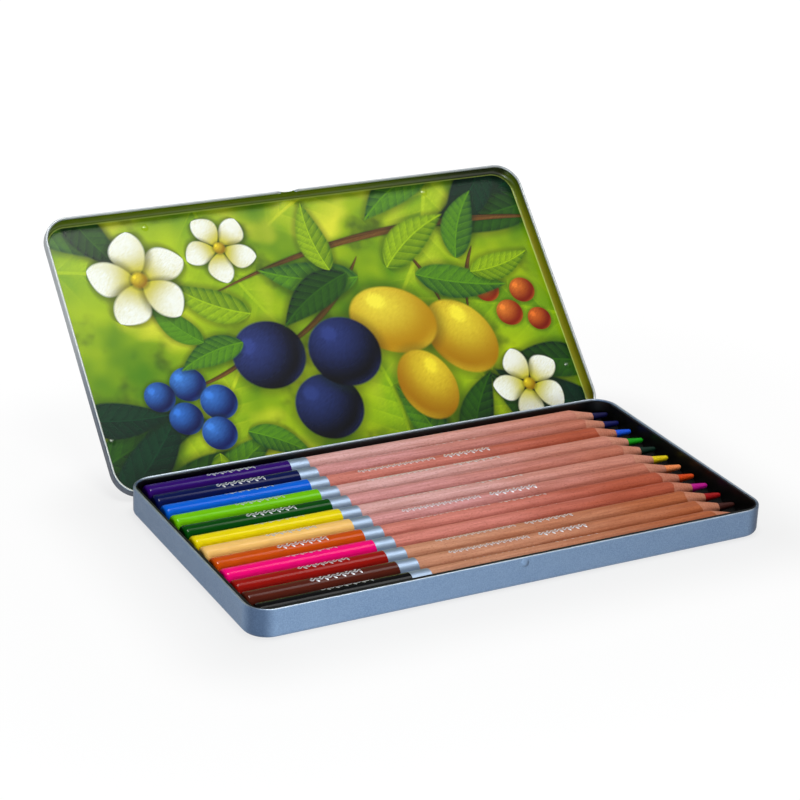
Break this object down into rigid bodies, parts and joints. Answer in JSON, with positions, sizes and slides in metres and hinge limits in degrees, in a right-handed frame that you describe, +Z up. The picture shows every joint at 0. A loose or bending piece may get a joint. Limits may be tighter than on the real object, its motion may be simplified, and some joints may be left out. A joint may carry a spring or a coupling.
{
  "type": "colored pencil tin",
  "caption": "Flat hinged metal tin, lid open, with round colored pencils in a grooved black tray; printed inside of lid, rolled rims, wire hinges.",
  "frame": {"origin": "centre of the base's flat underside", "axes": "+X along the pencils towards their points, -Y the front with the snap dimple, +Y the hinge side, +Z up"},
  "size_m": [0.1844, 0.1758, 0.0743],
  "materials": {
    "tin_silver": "satin silver lacquer over drawn tinplate",
    "lid_print": "gloss print inside, satin silver outside",
    "tray_black": "thin vacuum-formed sheet, semi-gloss",
    "wire_steel": "drawn wire",
    "foil_silver": "hot-stamped foil",
    "wood_violet": "bare cedar under a clear matt varnish",
    "dip_violet": "gloss dipped lacquer",
    "core_violet": "waxy pigment core",
    "wood_navy": "bare cedar under a clear matt varnish",
    "dip_navy": "gloss dipped lacquer",
    "core_navy": "waxy pigment core",
    "wood_blue": "bare cedar under a clear matt varnish",
    "dip_blue": "gloss dipped lacquer",
    "core_blue": "waxy pigment core",
    "wood_lime": "bare cedar under a clear matt varnish",
    "dip_lime": "gloss dipped lacquer",
    "core_lime": "waxy pigment core",
    "wood_green": "bare cedar under a clear matt varnish",
    "dip_green": "gloss dipped lacquer",
    "core_green": "waxy pigment core",
    "wood_yellow": "bare cedar under a clear matt varnish",
    "dip_yellow": "gloss dipped lacquer",
    "core_yellow": "waxy pigment core",
    "wood_peach": "bare cedar under a clear matt varnish",
    "dip_peach": "gloss dipped lacquer",
    "core_peach": "waxy pigment core",
    "wood_orange": "bare cedar under a clear matt varnish",
    "dip_orange": "gloss dipped lacquer",
    "core_orange": "waxy pigment core",
    "wood_pink": "bare cedar under a clear matt varnish",
    "dip_pink": "gloss dipped lacquer",
    "core_pink": "waxy pigment core",
    "wood_red": "bare cedar under a clear matt varnish",
    "dip_red": "gloss dipped lacquer",
    "core_red": "waxy pigment core",
    "wood_brown": "bare cedar under a clear matt varnish",
    "dip_brown": "gloss dipped lacquer",
    "core_brown": "waxy pigment core",
    "wood_black": "bare cedar under a clear matt varnish",
    "dip_black": "gloss dipped lacquer",
    "core_black": "waxy pigment core"
  },
  "bodies": {
    "base": {"base_shell": "tin_silver", "inner_tray": "tray_black", "hinge_wire_left": "wire_steel", "hinge_wire_right": "wire_steel"},
    "lid": {"lid_shell": "lid_print"},
    "violet_pencil": {"violet_wood": "wood_violet", "violet_core": "core_violet", "violet_dip": "dip_violet", "violet_band": "foil_silver"},
    "navy_pencil": {"navy_wood": "wood_navy", "navy_core": "core_navy", "navy_dip": "dip_navy", "navy_band": "foil_silver"},
    "blue_pencil": {"blue_wood": "wood_blue", "blue_core": "core_blue", "blue_dip": "dip_blue", "blue_band": "foil_silver"},
    "lime_pencil": {"lime_wood": "wood_lime", "lime_core": "core_lime", "lime_dip": "dip_lime", "lime_band": "foil_silver"},
    "green_pencil": {"green_wood": "wood_green", "green_core": "core_green", "green_dip": "dip_green", "green_band": "foil_silver"},
    "yellow_pencil": {"yellow_wood": "wood_yellow", "yellow_core": "core_yellow", "yellow_dip": "dip_yellow", "yellow_band": "foil_silver"},
    "peach_pencil": {"peach_wood": "wood_peach", "peach_core": "core_peach", "peach_dip": "dip_peach", "peach_band": "foil_silver"},
    "orange_pencil": {"orange_wood": "wood_orange", "orange_core": "core_orange", "orange_dip": "dip_orange", "orange_band": "foil_silver"},
    "pink_pencil": {"pink_wood": "wood_pink", "pink_core": "core_pink", "pink_dip": "dip_pink", "pink_band": "foil_silver"},
    "red_pencil": {"red_wood": "wood_red", "red_core": "core_red", "red_dip": "dip_red", "red_band": "foil_silver"},
    "brown_pencil": {"brown_wood": "wood_brown", "brown_core": "core_brown", "brown_dip": "dip_brown", "brown_band": "foil_silver"},
    "black_pencil": {"black_wood": "wood_black", "black_core": "core_black", "black_dip": "dip_black", "black_band": "foil_silver"}
  },
  "joints": [
    {"name": "lid_hinge", "type": "hinge", "parent": "base", "child": "lid", "pos_m": [0, 0.0506, 0.00385], "axis": [-1, 0, 0], "range_deg": [-135, 0]},
    {"name": "lift_violet", "type": "slide", "parent": "base", "child": "violet_pencil", "axis": [0, 0, 1], "range_m": [0, 0.03]},
    {"name": "lift_navy", "type": "slide", "parent": "base", "child": "navy_pencil", "axis": [0, 0, 1], "range_m": [0, 0.03]},
    {"name": "lift_blue", "type": "slide", "parent": "base", "child": "blue_pencil", "axis": [0, 0, 1], "range_m": [0, 0.03]},
    {"name": "lift_lime", "type": "slide", "parent": "base", "child": "lime_pencil", "axis": [0, 0, 1], "range_m": [0, 0.03]},
    {"name": "lift_green", "type": "slide", "parent": "base", "child": "green_pencil", "axis": [0, 0, 1], "range_m": [0, 0.03]},
    {"name": "lift_yellow", "type": "slide", "parent": "base", "child": "yellow_pencil", "axis": [0, 0, 1], "range_m": [0, 0.03]},
    {"name": "lift_peach", "type": "slide", "parent": "base", "child": "peach_pencil", "axis": [0, 0, 1], "range_m": [0, 0.03]},
    {"name": "lift_orange", "type": "slide", "parent": "base", "child": "orange_pencil", "axis": [0, 0, 1], "range_m": [0, 0.03]},
    {"name": "lift_pink", "type": "slide", "parent": "base", "child": "pink_pencil", "axis": [0, 0, 1], "range_m": [0, 0.03]},
    {"name": "lift_red", "type": "slide", "parent": "base", "child": "red_pencil", "axis": [0, 0, 1], "range_m": [0, 0.03]},
    {"name": "lift_brown", "type": "slide", "parent": "base", "child": "brown_pencil", "axis": [0, 0, 1], "range_m": [0, 0.03]},
    {"name": "lift_black", "type": "slide", "parent": "base", "child": "black_pencil", "axis": [0, 0, 1], "range_m": [0, 0.03]}
  ]
}
